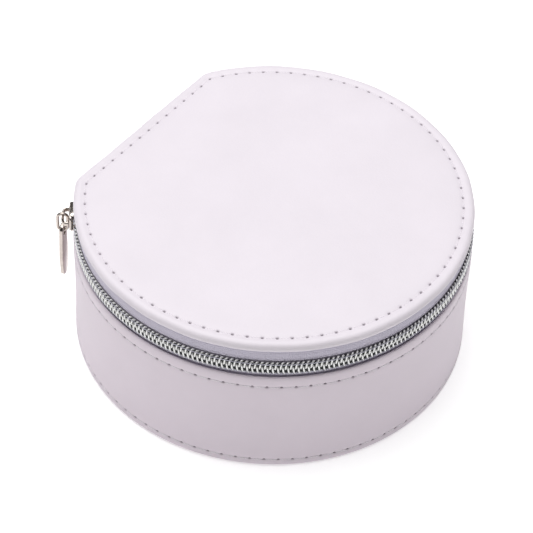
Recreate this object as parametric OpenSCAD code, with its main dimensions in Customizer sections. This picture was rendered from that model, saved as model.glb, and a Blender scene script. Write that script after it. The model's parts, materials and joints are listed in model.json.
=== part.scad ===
// D-shaped zip-around jewelry box: a round leather-covered box with one flat side,
// where a leather strip hinges the lid and a coil zipper closes the rest of the way round.
// Millimetres, +Z up. The origin is on the underside, on the axis of the round wall;
// the flat hinge side faces +Y and the front of the box faces -Y.

/* [Box] */
// Width across the lid's rolled rim
box_w = 109.5; // [96:0.1:134]
// Distance from the axis to the flat back edge of the lid
lid_back = 46.95; // [44:0.05:50]
// Overall height, to the top of the lid's rolled rim
box_h = 47.95; // [40:0.05:60]
// Corner radius where the round rim meets the flat back
lid_corner_r = 5.25; // [5.1:0.05:8]
// How far the lid's rim stands out past the body wall, less than nothing where it stands in
lid_overhang = -0.25; // [-0.4:0.05:-0.05]
// Open band between the body's lip and the lid's rim, where the zipper runs
opening_h = 9.25; // [9.1:0.05:12]

/* [Lid] */
// Thickness of the rolled rim
rim_t = 3; // [2.9:0.1:3.6]
// How far the stitched top lies below the crest of the rim
top_sink = 0.05; // [0.05:0.05:0.8]
// Thickness of the leather over the lid
lid_skin_t = 0.7; // [0.5:0.05:0.8]
// Distance from the outside of the rim to the row of stitches
stitch_inset = 3.15; // [3:0.05:3.6]
// Thickness of the stiff board in the lid
lid_board_t = 1.3; // [1:0.1:1.4]
// Thickness of the lining under the lid
lid_lining_t = 0.8; // [0.5:0.1:1]
// Radius of the round mirror under the lid
mirror_r = 38; // [28:1:42]
// Thickness of the mirror
mirror_t = 1.4; // [1:0.1:1.6]

/* [Wall] */
// Thickness of the leather round the side
wrap_t = 1.2; // [0.9:0.05:1.3]
// Thickness of the zipper tape
tape_t = 0.55; // [0.4:0.05:0.6]
// Thickness of the stiff board in the wall
wall_board_t = 2; // [1.5:0.1:2.1]
// Thickness of the lining inside the wall
wall_lining_t = 0.8; // [0.5:0.05:0.85]
// Distance from the lip down to the upper row of stitches
upper_row_drop = 3.6; // [3:0.1:4.5]
// Height of the lower row of stitches
lower_row_z = 2.8; // [2.4:0.1:4]

/* [Floor] */
// Thickness of the leather under the box
bottom_t = 0.9; // [0.6:0.1:1.2]
// Thickness of the floor board
floor_board_t = 2; // [1.5:0.1:3]
// Thickness of the lining on the floor
floor_lining_t = 0.7; // [0.5:0.1:1]

/* [Inside] */
// Distance from the middle of the box to the middle of each side partition
partition_x = 24.8; // [20:0.1:26]
// Thickness of each covered partition
partition_t = 2.2; // [1.6:0.1:3]
// How far the partitions stop below the lip
partition_drop = 4.7; // [3:0.1:8]
// Distance from the axis forward to the middle of the cross partition
cross_y = 7; // [4:0.5:12]
// Number of ring rolls
roll_count = 4; // [4]
// Space between two ring rolls
roll_space = 0.5; // [0.4:0.1:1]
// Thickness of the foam block under the ring rolls
ring_pad_h = 11.2; // [8:0.1:12]

/* [Zipper] */
// Width of the closed coil chain
chain_w = 4.4; // [4:0.1:4.5]
// Thickness of the coil, measured outwards from the tape
coil_t = 1.25; // [1:0.05:1.4]
// Space between the two halves of the chain, where the slider's neck passes
chain_gap = 1; // [0.9:0.05:1.2]
// Height of the middle of the chain above the body's lip
chain_rise = 3.5; // [3.5:0.1:4]
// Space between the closed slider and the stop at the end of the chain
rest_gap = 0.35; // [0.3:0.05:2]

/* [Slider] */
// Length of the slider along the chain
slider_l = 7; // [6.5:0.1:8.4]
// Width of the slider across the chain
slider_w = 6.5; // [6.4:0.1:6.6]
// Thickness of the slider's plates
plate_t = 0.8; // [0.6:0.05:0.9]
// Height of the neck that spreads the two halves of the chain
neck_w = 0.7; // [0.5:0.05:0.8]
// Height of the crown's bar above the outer plate, to its middle
crown_rise = 1.8; // [1.75:0.05:2]
// Length of the crown's bar
crown_l = 6.2; // [5:0.1:6.6]
// Thickness of the crown's bar and of the pull ring's wire
wire_d = 0.9; // [0.8:0.05:0.95]

/* [Pull] */
// Height of the pull ring
ring_h = 7; // [6.6:0.1:10]
// Distance between the middles of the pull ring's two legs
ring_leg_space = 2.7; // [2.6:0.05:3]
// Length of the tab below the ring's wire
tab_drop = 16.9; // [12:0.1:20]
// Greatest width of the tab
tab_w = 5; // [4.4:0.1:6]
// Thickness of the tab
tab_t = 1.2; // [0.8:0.05:1.25]
// How far the tab hangs turned from the wall, in degrees
tab_turn = 14; // [0:1:14]

/* [Stitches] */
// Distance from one stitch to the next
stitch_pitch = 3.9; // [3:0.1:5]
// Length of thread that shows in one stitch
stitch_l = 2.8; // [2:0.1:3]
// Thickness of the thread
thread_d = 0.6; // [0.4:0.05:0.7]

/* [Hidden] */
$fn = 128;
// Hairline between layers that are glued together
glue_gap = 0.05;
// Clearance between the slider and what it slides on
slide_gap = 0.25;
// Clearance between a fitted partition and its neighbours
fit_gap = 0.1;

// Outline: the lid's and the body's outlines are offsets of one skeleton, an arc round the
// axis and two corner centres (hubs), so one radius names any line parallel to the wall.
lid_r = box_w / 2;
body_r = lid_r - lid_overhang;
// The hubs' angle is rounded so that neighbouring stretches of outline meet face to face.
hub_r = lid_r - lid_corner_r;
hub_a = round(100 * asin((lid_back - lid_corner_r) / hub_r)) / 100;
hub_x = hub_r * cos(hub_a);
hub_y = hub_r * sin(hub_a);
// Each half of the flat runs a little past the middle, into the other half
half_flat = hub_x + 1;
arc_start = 180 - hub_a;
arc_span = 180 + 2 * hub_a;

// Heights of the body
rim_r = rim_t / 2;
rim_z = box_h - rim_r;
rim_bottom = box_h - rim_t;
lip_z = rim_bottom - opening_h;
wrap_foot = 0.4;
board_foot = bottom_t + glue_gap;
floor_top = board_foot + floor_board_t;
lining_foot = floor_top + glue_gap;
inside_floor = lining_foot + floor_lining_t + glue_gap;
board_top = lip_z - 1;
lining_top = lip_z - 0.2;
tape_foot = lip_z - 5.2;
partition_top = lip_z - partition_drop;

// Radii of the wall's layers, from the outside in
wrap_in = body_r - wrap_t;
tape_out = wrap_in - glue_gap;
tape_in = tape_out - tape_t;
board_out = tape_in - glue_gap;
board_in = board_out - wall_board_t;
lining_out = board_in - glue_gap;
lining_in = lining_out - wall_lining_t;

// Zipper
chain_z = lip_z + chain_rise;
coil_out = tape_out + coil_t;
plate_in = coil_out + slide_gap;
plate_out = plate_in + plate_t;
slider_half_a = slider_l / 2 / plate_out * 180 / PI;
// Angle from the end of the arc to the first stop, and where the slider stands when it is closed
stop_inset_a = 0.95;
rest_gap_a = rest_gap / plate_out * 180 / PI;
slider_rest = arc_start + round(10 * (stop_inset_a + rest_gap_a + slider_half_a)) / 10;
// Angle left free at each end of the lid's chain, so that the lid lifts clear of the slider
clear_a = 1.8;
zone_a = ceil(slider_rest + slider_half_a + clear_a);
slider_top = chain_z + slider_w / 2;
stop_w = 0.6;

// Layers of the lid
skin_top = box_h - top_sink;
skin_bottom = skin_top - lid_skin_t;
fold_top = rim_bottom + lid_skin_t;
rim_mid_r = lid_r - rim_r;
// How far the foam's thick edge reaches in from the middle of the rim
core_w = 0.9;
row_r = lid_r - stitch_inset;
fold_in = row_r - 1.1;
flange_top = rim_bottom - glue_gap;
flange_bottom = flange_top - tape_t;
lid_lining_top = flange_bottom - glue_gap;
lid_lining_r = tape_in - 0.4;
mirror_y = (lid_back - lid_r) / 2;

// Slider, ring and tab
crown_r = plate_out + crown_rise;
wire_r = wire_d / 2;
ring_in_r = plate_out + 0.1 + wire_r;
ring_mid_r = ring_in_r + ring_leg_space / 2;
ring_arc_r = ring_leg_space / 2;
ring_top_z = chain_z - 0.25;
ring_bottom_z = ring_top_z + ring_arc_r + wire_d - ring_h + ring_arc_r;
tab_pivot_z = ring_bottom_z - ring_arc_r;
tab_hole_r = 1.2;
tab_hole_z = tab_pivot_z - 0.3;
tab_eye_r = 1.95;
tab_tip_r = 1.8;

// Ring rolls fill the back of the middle section
inside_back = hub_y + lining_in - hub_r;
roll_front = -cross_y + partition_t / 2 + fit_gap;
roll_pitch = (inside_back - fit_gap - roll_front) / roll_count;
roll_r = (roll_pitch - roll_space) / 2;
roll_l = 2 * (partition_x - partition_t / 2 - fit_gap);
roll_z = inside_floor + ring_pad_h + roll_r + fit_gap;

LEATHER = [0.93, 0.91, 0.94];
LINING = [0.80, 0.76, 0.82];
BOARD = [0.62, 0.58, 0.52];
FOAM = [0.90, 0.89, 0.84];
TAPE = [0.74, 0.73, 0.80];
COIL = [0.72, 0.72, 0.74];
NICKEL = [0.78, 0.72, 0.68];
THREAD = [0.86, 0.83, 0.87];
MIRROR = [0.82, 0.86, 0.88];

// ---- Shapes that follow the outline ------------------------------------------------

// A profile (x = radius, y = height) turned round the axis from one angle to another
module along_arc(from_a, to_a) {
    rotate_extrude(start = from_a, angle = to_a - from_a) children();
}

// Moves to the right hub, coarse step then fine steps, so that faces meet to the last digit
module at_hub() {
    hub = [hub_x, hub_y, 0];
    coarse = [for (v = hub) floor(v)];
    fine = [for (v = hub - coarse) floor(1000 * v) / 1000];
    translate(coarse) translate(fine) translate(hub - coarse - fine) children();
}

// The right half of a shape, and its mirror image
module both_halves() {
    children();
    mirror([1, 0, 0]) children();
}

// A profile carried round the two back corners and along the flat back
module along_back() {
    both_halves() {
        at_hub() along_arc(hub_a, 90) translate([-hub_r, 0]) children();
        at_hub() rotate([90, 0, 90]) translate([0, 0, -half_flat]) linear_extrude(half_flat)
            translate([-hub_r, 0]) children();
    }
}

// A profile carried all the way round the outline
module along_outline() {
    both_halves() along_arc(-90, hub_a) children();
    along_back() children();
}

// A solid plate whose edge is the outline at radius r
module outline_plate(r, from_z, to_z) {
    over = r - hub_r;
    translate([0, 0, from_z]) both_halves() {
        along_arc(-90, hub_a) square([r, to_z - from_z]);
        at_hub() {
            along_arc(hub_a, 90) square([over, to_z - from_z]);
            translate([-half_flat, -hub_y, 0]) cube([half_flat, hub_y + over, to_z - from_z]);
        }
    }
}

// A rectangle between two radii and two heights
module band(from_r, to_r, from_z, to_z) {
    translate([from_r, from_z]) square([to_r - from_r, to_z - from_z]);
}

// Points of an arc about c
function arc_points(c, r, from_a, to_a, steps) =
    [for (i = [0 : steps]) let (a = from_a + (to_a - from_a) * i / steps) c + r * [cos(a), sin(a)]];

// Lengths of the arc and of one corner of the outline at radius r
function arc_length(r) = r * arc_span * PI / 180;
function corner_length(r) = (r - hub_r) * (90 - hub_a) * PI / 180;
function outline_length(r) = arc_length(r) + 2 * corner_length(r) + 2 * hub_x;

// Place [x, y, direction] at distance s along the outline at radius r
function outline_at(r, s) =
    let (over = r - hub_r, s1 = s - arc_length(r), s2 = s1 - corner_length(r), s3 = s2 - 2 * hub_x)
    s1 < 0 ? turned([0, 0], r, arc_start + s / r * 180 / PI)
    : s2 < 0 ? turned([hub_x, hub_y], over, hub_a + s1 / over * 180 / PI)
    : s3 < 0 ? [hub_x - s2, hub_y + over, 180]
    : turned([-hub_x, hub_y], over, 90 + s3 / over * 180 / PI);
function turned(c, r, a) = [c.x + r * cos(a), c.y + r * sin(a), a + 90];

// A row of stitches round the outline at radius r: each lies half sunk along the row
module stitch_row(r, z) {
    whole = outline_length(r);
    count = round(whole / stitch_pitch);
    for (i = [0 : count - 1]) {
        place = outline_at(r, (i + 0.5) * whole / count);
        translate([place.x, place.y, z]) rotate([0, 90, place.z])
            cylinder(h = stitch_l, d = thread_d, center = true, $fn = 16);
    }
}

// Carries its children to the slider's place: X along the chain, Y inwards, Z up
module at_slider() {
    rotate([0, 0, slider_rest + 90]) children();
}

// ---- Floor -------------------------------------------------------------------------

module bottom_cover() {
    color(LEATHER) outline_plate(wrap_in - glue_gap, 0, bottom_t);
}

module floor_board() {
    color(BOARD) outline_plate(board_in - glue_gap, board_foot, floor_top);
}

module floor_lining() {
    color(LINING) outline_plate(lining_in - glue_gap, lining_foot, lining_foot + floor_lining_t);
}

// ---- Wall --------------------------------------------------------------------------

// The leather round the side, with a rounded lip
module side_wrap() {
    lip_r = wrap_t / 2;
    color(LEATHER) along_outline()
        polygon(concat(
            [[wrap_in, wrap_foot], [body_r, wrap_foot]],
            arc_points([body_r - lip_r, lip_z - lip_r], lip_r, 0, 180, 8)
        ));
}

// The stiff board: full thickness low down, stepped back where the tape is sewn in
module wall_board() {
    step_z = tape_foot - glue_gap;
    color(BOARD) along_outline()
        polygon([
            [board_in, board_foot], [tape_out, board_foot], [tape_out, step_z],
            [board_out, step_z], [board_out, board_top], [board_in, board_top]
        ]);
}

// The lining climbs the wall and folds over the top of the board
module wall_lining() {
    fold_z = board_top + glue_gap;
    color(LINING) along_outline()
        polygon([
            [lining_in, lining_foot], [lining_out, lining_foot], [lining_out, fold_z],
            [board_out, fold_z], [board_out, lining_top], [lining_in, lining_top]
        ]);
}

module body_upper_stitching() {
    color(THREAD) stitch_row(body_r, lip_z - upper_row_drop);
}

module body_lower_stitching() {
    color(THREAD) stitch_row(body_r, lower_row_z);
}

// ---- Inside ------------------------------------------------------------------------

// A covered upright board, cut to the curve of the lined wall
module upright(from_x, to_x, from_y, to_y) {
    intersection() {
        outline_plate(lining_in - fit_gap, inside_floor, partition_top);
        translate([from_x, from_y, 0]) cube([to_x - from_x, to_y - from_y, box_h]);
    }
}

module partition_left() {
    color(LINING) upright(-partition_x - partition_t / 2, -partition_x + partition_t / 2, -box_w, box_w);
}

module partition_right() {
    color(LINING) upright(partition_x - partition_t / 2, partition_x + partition_t / 2, -box_w, box_w);
}

module partition_cross() {
    color(LINING)
        upright(-roll_l / 2, roll_l / 2, -cross_y - partition_t / 2, -cross_y + partition_t / 2);
}

module divider_left() {
    color(LINING)
        upright(-box_w, -partition_x - partition_t / 2 - fit_gap, -partition_t / 2, partition_t / 2);
}

module divider_right() {
    color(LINING)
        upright(partition_x + partition_t / 2 + fit_gap, box_w, -partition_t / 2, partition_t / 2);
}

module ring_pad() {
    color(FOAM) translate([-roll_l / 2, roll_front, inside_floor])
        cube([roll_l, inside_back - fit_gap - roll_front, ring_pad_h]);
}

// Ring roll number i, counted from the front
module ring_roll(i) {
    color(LINING) translate([-roll_l / 2, roll_front + (i - 0.5) * roll_pitch, roll_z])
        rotate([0, 90, 0]) cylinder(h = roll_l, r = roll_r);
}

// ---- Zipper on the body ------------------------------------------------------------

module lower_zip_tape() {
    color(TAPE) along_arc(arc_start + 0.2, arc_start + arc_span - 0.2)
        band(tape_in, tape_out, tape_foot, chain_z - chain_gap / 2);
}

module lower_zip_coil() {
    color(COIL) along_arc(arc_start + 1, arc_start + arc_span - 1)
        band(tape_out, coil_out, chain_z - chain_w / 2, chain_z - chain_gap / 2);
}

// A pair of metal stops clamped on the tape at two angles
module end_stops(first_a, last_a, from_z, to_z) {
    stop_a = stop_w / coil_out * 180 / PI;
    along_arc(first_a - stop_a, first_a) band(tape_out, coil_out, from_z, to_z);
    along_arc(last_a, last_a + stop_a) band(tape_out, coil_out, from_z, to_z);
}

module lower_end_stops() {
    color(NICKEL) end_stops(
        arc_start + stop_inset_a, arc_start + arc_span - stop_inset_a,
        chain_z - chain_w / 2, chain_z - chain_gap / 2
    );
}

// The hinge strip's half below the bending line
module hinge_lower_leaf() {
    color(LEATHER) along_back() band(tape_in, tape_out, tape_foot, chain_z - 0.2);
}

// ---- Lid ---------------------------------------------------------------------------

// One leather skin: over the top, round the rim and folded in underneath
module lid_cover() {
    c = [rim_mid_r, rim_z];
    inner_r = rim_r - lid_skin_t;
    crest_a = 180 - asin((skin_top - rim_z) / rim_r);
    color(LEATHER) {
        along_outline()
            polygon(concat(
                [[fold_in, skin_bottom], [fold_in, skin_top]],
                arc_points(c, rim_r, crest_a, -90, 24),
                [[fold_in, rim_bottom], [fold_in, fold_top]],
                arc_points(c, inner_r, -90, 90, 16),
                [[rim_mid_r - core_w, rim_z + inner_r], [rim_mid_r - core_w, skin_bottom]]
            ));
        outline_plate(fold_in, skin_bottom, skin_top);
    }
}

// The foam sheet under the skin, thick enough at its edge to fill the rim
module lid_padding() {
    c = [rim_mid_r, rim_z];
    fill_r = rim_r - lid_skin_t - glue_gap;
    low = fold_top + glue_gap;
    high = skin_bottom - glue_gap;
    color(FOAM) {
        along_outline()
            polygon(concat(
                [[fold_in, high], [fold_in, low]],
                arc_points(c, fill_r, -90, 90, 16),
                [[rim_mid_r - core_w + glue_gap, rim_z + fill_r], [rim_mid_r - core_w + glue_gap, high]]
            ));
        outline_plate(fold_in, low, high);
    }
}

module lid_board() {
    color(BOARD) outline_plate(fold_in - glue_gap, fold_top - lid_board_t, fold_top);
}

module lid_lining() {
    color(LINING) difference() {
        outline_plate(lid_lining_r, lid_lining_top - lid_lining_t, lid_lining_top);
        translate([0, mirror_y, 0]) cylinder(h = box_h, r = mirror_r + 0.2);
    }
}

module lid_mirror() {
    color(MIRROR) translate([0, mirror_y, lid_lining_top - mirror_t])
        cylinder(h = mirror_t, r = mirror_r);
}

module lid_stitching() {
    color(THREAD) stitch_row(row_r, skin_top);
}

// Tape or hinge strip that hangs down to foot_z, with its flange folded in under the rim
module hung_profile(foot_z) {
    polygon([
        [tape_in, foot_z], [tape_out, foot_z], [tape_out, flange_top],
        [fold_in, flange_top], [fold_in, flange_bottom], [tape_in, flange_bottom]
    ]);
}

// The upper tape stops short above the slider at both ends of its travel
module upper_zip_tape() {
    short_z = slider_top + 0.35;
    color(TAPE) {
        along_arc(arc_start + 0.2, zone_a) hung_profile(short_z);
        along_arc(zone_a, 540 - zone_a) hung_profile(chain_z + chain_gap / 2);
        along_arc(540 - zone_a, arc_start + arc_span - 0.2) hung_profile(short_z);
    }
}

module upper_zip_coil() {
    color(COIL) along_arc(zone_a + 0.7, 540 - zone_a - 0.7)
        band(tape_out, coil_out, chain_z + chain_gap / 2, chain_z + chain_w / 2);
}

module upper_end_stops() {
    color(NICKEL) end_stops(
        zone_a + 0.65, 540 - zone_a - 0.65,
        chain_z + chain_gap / 2, chain_z + chain_w / 2
    );
}

// The hinge strip's half above the bending line
module hinge_upper_leaf() {
    color(LEATHER) along_back() hung_profile(chain_z + 0.2);
}

// ---- Slider ------------------------------------------------------------------------

// Outer plate with two rims that hold the chain, inner plate, and the neck between them
module slider_body() {
    rim_in = tape_out + slide_gap;
    inner_out = tape_in - slide_gap;
    half_w = slider_w / 2;
    start_a = slider_rest - slider_half_a;
    color(NICKEL) {
        along_arc(start_a, slider_rest + slider_half_a) {
            polygon([
                [rim_in, chain_z - half_w], [plate_out, chain_z - half_w],
                [plate_out, chain_z + half_w], [rim_in, chain_z + half_w],
                [rim_in, chain_z + half_w - plate_t], [plate_in, chain_z + half_w - plate_t],
                [plate_in, chain_z - half_w + plate_t], [rim_in, chain_z - half_w + plate_t]
            ]);
        }
        along_arc(start_a, slider_rest + slider_half_a)
            band(inner_out - plate_t, inner_out, chain_z - half_w, chain_z + half_w);
        along_arc(start_a + 0.4, start_a + slider_half_a / 2)
            band(inner_out - plate_t / 2, plate_in + plate_t / 2, chain_z - neck_w / 2, chain_z + neck_w / 2);
    }
}

// The arch that the pull ring hangs on
module slider_crown() {
    half_a = crown_l / 2 / crown_r * 180 / PI;
    foot_a = wire_d / crown_r * 180 / PI;
    foot_r = plate_out + glue_gap;
    color(NICKEL) {
        along_arc(slider_rest - half_a, slider_rest + half_a)
            translate([crown_r, chain_z]) circle(r = wire_r);
        for (end_a = [-half_a, half_a - foot_a])
            along_arc(slider_rest + end_a, slider_rest + end_a + foot_a)
                band(foot_r, crown_r + wire_r, chain_z - wire_d * 0.7, chain_z + wire_d * 0.7);
    }
}

// ---- Pull --------------------------------------------------------------------------

// Half a turn of the ring's wire, about a centre at height z
module ring_end(z, from_a) {
    translate([0, -ring_mid_r, z]) rotate([0, 90, 0]) rotate([0, 0, from_a])
        rotate_extrude(angle = 180) translate([ring_arc_r, 0]) circle(r = wire_r);
}

// An oval wire link in the upright plane that points away from the wall
module pull_ring() {
    color(NICKEL) at_slider() {
        ring_end(ring_top_z, 90);
        ring_end(ring_bottom_z, -90);
        for (leg_r = [ring_in_r, ring_in_r + ring_leg_space])
            translate([0, -leg_r, ring_bottom_z]) cylinder(h = ring_top_z - ring_bottom_z, r = wire_r);
    }
}

// A tongue-shaped plate with an eye round the ring's lower wire
module pull_tab() {
    tip_z = tab_pivot_z - tab_drop + tab_tip_r;
    belly_z = tab_pivot_z - tab_drop * 0.55;
    color(NICKEL) at_slider() translate([0, -ring_mid_r, 0]) rotate([0, 0, -tab_turn])
        rotate([90, 0, 0]) translate([0, 0, -tab_t / 2]) difference() {
            linear_extrude(tab_t) hull() {
                translate([0, tab_pivot_z + 0.2]) circle(r = tab_eye_r, $fn = 32);
                translate([0, belly_z]) circle(d = tab_w, $fn = 32);
                translate([0, tip_z]) circle(r = tab_tip_r, $fn = 32);
            }
            translate([0, tab_hole_z, -tab_t]) cylinder(h = 3 * tab_t, r = tab_hole_r);
        }
}

bottom_cover();
floor_board();
floor_lining();
side_wrap();
wall_board();
wall_lining();
body_upper_stitching();
body_lower_stitching();
partition_left();
partition_right();
partition_cross();
divider_left();
divider_right();
ring_pad();
ring_roll(1);  // ring_roll_1
ring_roll(2);  // ring_roll_2
ring_roll(3);  // ring_roll_3
ring_roll(4);  // ring_roll_4
lower_zip_tape();
lower_zip_coil();
lower_end_stops();
hinge_lower_leaf();
lid_cover();
lid_padding();
lid_board();
lid_lining();
lid_mirror();
lid_stitching();
upper_zip_tape();
upper_zip_coil();
upper_end_stops();
hinge_upper_leaf();
slider_body();
slider_crown();
pull_ring();
pull_tab();
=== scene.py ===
# %% [markdown]
# # A zip-around jewelry box, made piece by piece
#
# The box is a low round drum with one flat side. The CAD frame already holds every size and
# every joint. This lesson gives each piece the shape and finish that a person sees: padded
# leather, sewn rows, a real coil zipper, polished metal and a velvet inside.
# Everything is in metres, in the frame's own axes: +Z up, the flat hinge side towards +Y.

import json
import math

import bpy
import numpy as np
from mathutils import Matrix, Vector


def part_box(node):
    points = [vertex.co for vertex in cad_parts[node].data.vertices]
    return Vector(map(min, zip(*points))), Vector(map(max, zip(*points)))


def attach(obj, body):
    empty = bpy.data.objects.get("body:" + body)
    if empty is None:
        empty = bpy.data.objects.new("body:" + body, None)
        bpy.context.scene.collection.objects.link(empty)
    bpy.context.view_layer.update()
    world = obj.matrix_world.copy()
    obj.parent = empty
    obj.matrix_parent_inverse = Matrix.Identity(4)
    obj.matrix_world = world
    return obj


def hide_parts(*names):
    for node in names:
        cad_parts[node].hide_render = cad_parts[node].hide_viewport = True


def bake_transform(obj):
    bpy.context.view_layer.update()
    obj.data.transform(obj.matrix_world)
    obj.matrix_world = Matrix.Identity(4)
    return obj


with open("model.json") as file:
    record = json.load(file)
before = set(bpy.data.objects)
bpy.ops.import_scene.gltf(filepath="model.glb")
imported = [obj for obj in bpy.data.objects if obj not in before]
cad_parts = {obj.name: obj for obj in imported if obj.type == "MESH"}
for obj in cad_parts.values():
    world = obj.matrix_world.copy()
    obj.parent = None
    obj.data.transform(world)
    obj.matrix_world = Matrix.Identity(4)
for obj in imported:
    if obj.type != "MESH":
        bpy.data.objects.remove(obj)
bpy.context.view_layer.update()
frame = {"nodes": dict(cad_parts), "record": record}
MM = 0.001


# %% [markdown]
# ## Sizes that come from the frame
#
# Every new piece has to sit exactly where its CAD solid sits, so its sizes are read from the
# boxes of the CAD nodes. Typing them again would work too, but then a changed box would
# leave the leather behind. Only the corner radius can't be read from a box, so it is named.

# %% Read the sizes
def raised(value, power):
    """|value|^power with the value's own sign, for squarer or rounder curves."""
    return np.sign(value) * np.abs(value) ** power


def unit(vectors):
    """Each vector divided by its length."""
    return vectors / np.linalg.norm(vectors, axis=-1, keepdims=True)


def heading(turn, *more):
    """The direction at an angle about the axis: cos, sin, and any further coordinates."""
    return np.stack([np.cos(turn), np.sin(turn), *more], -1)


def add_object(name, data):
    """A new object in the scene."""
    made = bpy.data.objects.new(name, data)
    bpy.context.scene.collection.objects.link(made)
    return made


def low_high(node):
    """The node's lowest and highest corners, as arrays."""
    low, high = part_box(node)
    return np.array(low), np.array(high)


RIM_LOW, RIM_HIGH = low_high("lid_cover")
LID_R, LID_BACK, TOP = RIM_HIGH
RIM_FOOT = RIM_LOW[2]
WALL_FOOT, (WALL_R, _, LIP) = low_high("side_wrap")[0][2], low_high("side_wrap")[1]
CORNER_R = 5.25 * MM
THREAD_R = 0.3 * MM
ROW_R = low_high("lid_stitching")[1][0] - THREAD_R
SKIN_TOP = sum(low_high("lid_stitching"))[2] / 2
UPPER_ROW_Z = sum(low_high("body_upper_stitching"))[2] / 2
LOWER_ROW_Z = sum(low_high("body_lower_stitching"))[2] / 2
TAPE_R = low_high("lower_zip_tape")[1][0]
TAPE_FOOT = low_high("lower_zip_tape")[0][2]
TAPE_T = 0.55 * MM
CHAIN_LOW = low_high("lower_zip_coil")[0][2]
CHAIN_HIGH = low_high("upper_zip_coil")[1][2]
CHAIN_Z = (CHAIN_LOW + CHAIN_HIGH) / 2
print("lid radius, wall radius, height: %.2f, %.2f, %.2f mm" % (LID_R / MM, WALL_R / MM, TOP / MM))


# %% [markdown]
# ## The outline
#
# Seen from above, every wall of the box is an offset of one line: an arc about the axis and a
# straight back that meet at two hubs. A real maker cuts card to that outline. Here one
# function walks along it, and any layer is the same walk at another radius.

# %% Walk along the outline
HUB_R = LID_R - CORNER_R
HUB_Y = LID_BACK - CORNER_R
HUB_A = math.asin(HUB_Y / HUB_R)
HUB_X = HUB_R * math.cos(HUB_A)
CORNER_TURN = math.pi / 2 - HUB_A
ARC_TURN = math.pi + 2 * HUB_A
ARC_START = math.pi / 2 + CORNER_TURN


def legs_of(r):
    """Lengths at radius r of half the back, corner, arc, corner and half the back."""
    corner = (r - HUB_R) * CORNER_TURN
    return np.array([HUB_X, corner, r * ARC_TURN, corner, HUB_X])


def walk(s, r):
    """Skeleton point and outward normal at distance s along the outline at radius r.

    s starts at the middle of the back and runs anticlockwise. Skeleton + normal * (radius -
    HUB_R) is the outline at any radius."""
    knots = np.concatenate([[0], np.cumsum(legs_of(r))])
    quarter, full = math.pi / 2, 2 * math.pi
    turns = quarter + np.array([0, 0, CORNER_TURN, full - CORNER_TURN, full, full])
    turn = np.interp(s, knots, turns)
    normal = heading(turn)
    x = np.interp(s, knots, [0, -HUB_X, -HUB_X, HUB_X, HUB_X, 0])
    flat = np.stack([x, np.full_like(x, HUB_Y)], -1)
    on_arc = (s > knots[2]) & (s < knots[3])
    return np.where(on_arc[..., None], HUB_R * normal, flat), normal


def place(skeleton, normal, radius, z):
    """Points at a radius and a height: skeleton + normal * (radius - HUB_R), then z."""
    radius, z, _ = np.broadcast_arrays(radius, z, skeleton[..., 0])
    xy = skeleton + normal * (radius - HUB_R)[..., None]
    return np.concatenate([xy, z[..., None]], -1)


print("outline at the wall: %.1f mm round" % (legs_of(WALL_R).sum() / MM))


# %% [markdown]
# ## From a grid of points to a mesh
#
# Blender could sweep or spin these shapes itself, but a grid of points worked out as one
# array is exact, fast and easy to change. A grid may close on itself along its rows, its
# columns or both, and an end that stays open is closed by a fan of triangles to one point.

# %% Make a mesh from a grid
def grid_faces(rows, columns, wrap_rows, wrap_columns):
    """Corners of each quad of a grid, and their row and column before wrapping."""
    i, j = np.meshgrid(
        np.arange(rows if wrap_rows else rows - 1),
        np.arange(columns if wrap_columns else columns - 1),
        indexing="ij",
    )
    row = (i[..., None] + [0, 1, 1, 0]).reshape(-1, 4)
    column = (j[..., None] + [0, 0, 1, 1]).reshape(-1, 4)
    return (row % rows) * columns + column % columns, row, column


def fans(rows, columns, wrap_rows):
    """Triangles that close the two open ends of a grid onto its two pole points."""
    pole = rows * columns
    if wrap_rows:
        here = np.arange(rows) * columns
        there = np.roll(here, -1)
        far = columns - 1
        first = [there, here, np.full(rows, pole)]
        last = [here + far, there + far, np.full(rows, pole + 1)]
    else:
        here = np.arange(columns)
        there = np.roll(here, -1)
        far = (rows - 1) * columns
        first = [here, there, np.full(columns, pole)]
        last = [there + far, here + far, np.full(columns, pole + 1)]
    return np.concatenate([np.stack(first, 1), np.stack(last, 1)])


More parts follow.
